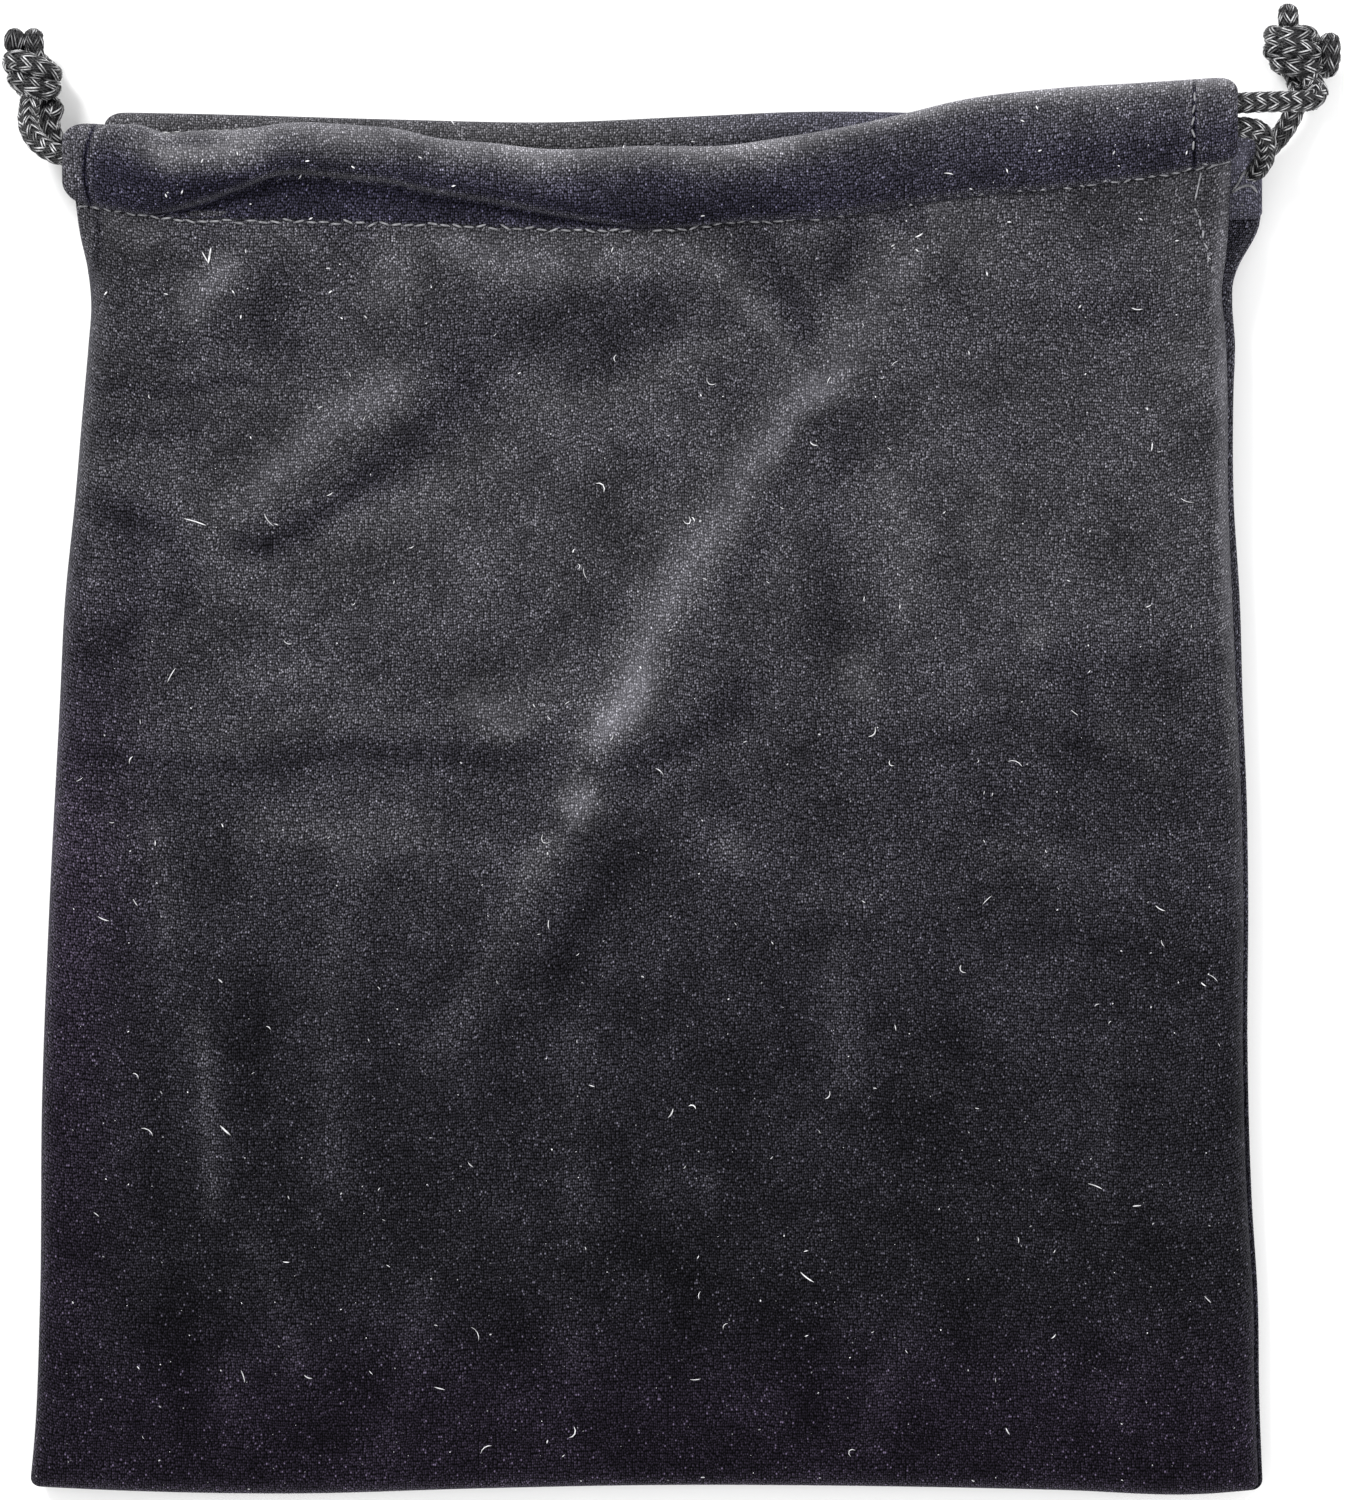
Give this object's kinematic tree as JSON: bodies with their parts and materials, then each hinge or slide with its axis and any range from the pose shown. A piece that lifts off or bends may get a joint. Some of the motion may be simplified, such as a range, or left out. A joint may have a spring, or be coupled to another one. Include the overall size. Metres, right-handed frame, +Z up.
{
  "type": "drawstring dice bag",
  "caption": "Flat velvet pouch with a cord casing along each side of its mouth and two drawstrings, one knotted at each end, that gather the mouth shut.",
  "frame": {"origin": "on the surface that the bag lies on, under the middle of the cloth bag without its drawstrings", "axes": "+Y from the closed end to the mouth, +X to the bag's right seen from its front, +Z up through its thickness"},
  "size_m": [0.1977, 0.2142, 0.0168],
  "materials": {
    "velvet": "charcoal-black knitted velvet, short pile brushed unevenly",
    "braided_cord": "shiny black round braid",
    "sewing_thread": "black polyester sewing thread"
  },
  "bodies": {
    "bag": {"front_panel": "velvet", "back_panel": "velvet", "left_side_seam": "velvet", "right_side_seam": "velvet", "bottom_seam": "velvet", "front_casing": "velvet", "back_casing": "velvet", "front_casing_stitch": "sewing_thread", "back_casing_stitch": "sewing_thread", "left_seam_thread": "sewing_thread", "right_seam_thread": "sewing_thread", "bottom_seam_thread": "sewing_thread", "front_left_hem_stitch": "sewing_thread", "front_right_hem_stitch": "sewing_thread", "back_left_hem_stitch": "sewing_thread", "back_right_hem_stitch": "sewing_thread"},
    "left_cord": {"left_drawstring": "braided_cord", "left_knot": "braided_cord"},
    "right_cord": {"right_drawstring": "braided_cord", "right_knot": "braided_cord"}
  },
  "joints": [
    {"name": "left_pull", "type": "slide", "parent": "bag", "child": "left_cord", "axis": [-1, 0, 0], "range_m": [0, 0.062], "deforming": ["front_casing", "back_casing", "front_casing_stitch", "back_casing_stitch", "front_right_hem_stitch", "back_right_hem_stitch"]},
    {"name": "right_pull", "type": "slide", "parent": "bag", "child": "right_cord", "axis": [1, 0, 0], "range_m": [0, 0.062], "deforming": ["front_casing", "back_casing", "front_casing_stitch", "back_casing_stitch", "front_left_hem_stitch", "back_left_hem_stitch"]}
  ]
}
